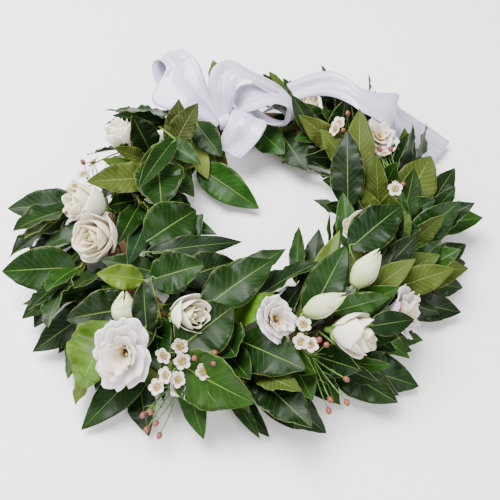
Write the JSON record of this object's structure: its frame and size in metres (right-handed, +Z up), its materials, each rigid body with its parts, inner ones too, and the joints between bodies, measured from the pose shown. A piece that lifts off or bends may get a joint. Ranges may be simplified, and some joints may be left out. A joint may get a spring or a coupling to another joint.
{
  "type": "laurel wreath",
  "caption": "Round wreath of laurel leaves bound on a ring of twisted canes, with roses, lisianthus, waxflower and a white satin bow.",
  "frame": {"origin": "bottom centre of the wreath's bounding box, on the surface it lies on", "axes": "+Z up through the wreath; +Y towards the bow; +X to the right seen from the front"},
  "size_m": [0.487, 0.483, 0.0997],
  "materials": {
    "vine_bark": "rough bark",
    "lacquered_wire": "green lacquer",
    "bay_leaf": "waxy gloss above, matt below",
    "white_satin": "satin",
    "rose_petal": "soft matt",
    "lisianthus_petal": "soft matt",
    "bud_petal": "soft matt",
    "flower_stem": "green skin",
    "waxflower": "waxy"
  },
  "bodies": {
    "root": {"binding_wire": "lacquered_wire", "bow_loops": "white_satin", "bow_streamer": "white_satin", "bow_tail_front": "white_satin", "bow_tie": "white_satin", "bud_front": "bud_petal", "bud_front_stem": "flower_stem", "bud_left": "bud_petal", "bud_left_stem": "flower_stem", "bud_right": "bud_petal", "bud_right_stem": "flower_stem", "laurel_bunch_01": "bay_leaf", "laurel_bunch_02": "bay_leaf", "laurel_bunch_03": "bay_leaf", "laurel_bunch_04": "bay_leaf", "laurel_bunch_05": "bay_leaf", "laurel_bunch_06": "bay_leaf", "laurel_bunch_07": "bay_leaf", "laurel_bunch_08": "bay_leaf", "laurel_bunch_09": "bay_leaf", "laurel_bunch_10": "bay_leaf", "laurel_bunch_11": "bay_leaf", "laurel_bunch_12": "bay_leaf", "laurel_bunch_13": "bay_leaf", "laurel_bunch_14": "bay_leaf", "laurel_bunch_15": "bay_leaf", "lisianthus_far": "lisianthus_petal", "lisianthus_far_stem": "flower_stem", "lisianthus_front": "lisianthus_petal", "lisianthus_front_stem": "flower_stem", "lisianthus_left": "lisianthus_petal", "lisianthus_left_stem": "flower_stem", "lisianthus_right": "lisianthus_petal", "lisianthus_right_stem": "flower_stem", "rose_far": "rose_petal", "rose_far_left": "rose_petal", "rose_far_left_stem": "flower_stem", "rose_far_stem": "flower_stem", "rose_front": "rose_petal", "rose_front_stem": "flower_stem", "rose_inner_right": "rose_petal", "rose_inner_right_stem": "flower_stem", "rose_left_lower": "rose_petal", "rose_left_lower_stem": "flower_stem", "rose_left_upper": "rose_petal", "rose_left_upper_stem": "flower_stem", "rose_right": "rose_petal", "rose_right_stem": "flower_stem", "vine_cane_1": "vine_bark", "vine_cane_2": "vine_bark", "vine_cane_3": "vine_bark", "vine_cane_4": "vine_bark", "waxflower_far_left": "waxflower", "waxflower_far_right": "waxflower", "waxflower_front_left": "waxflower", "waxflower_front_right": "waxflower", "waxflower_low_left": "waxflower", "waxflower_right": "waxflower"}
  },
  "joints": []
}
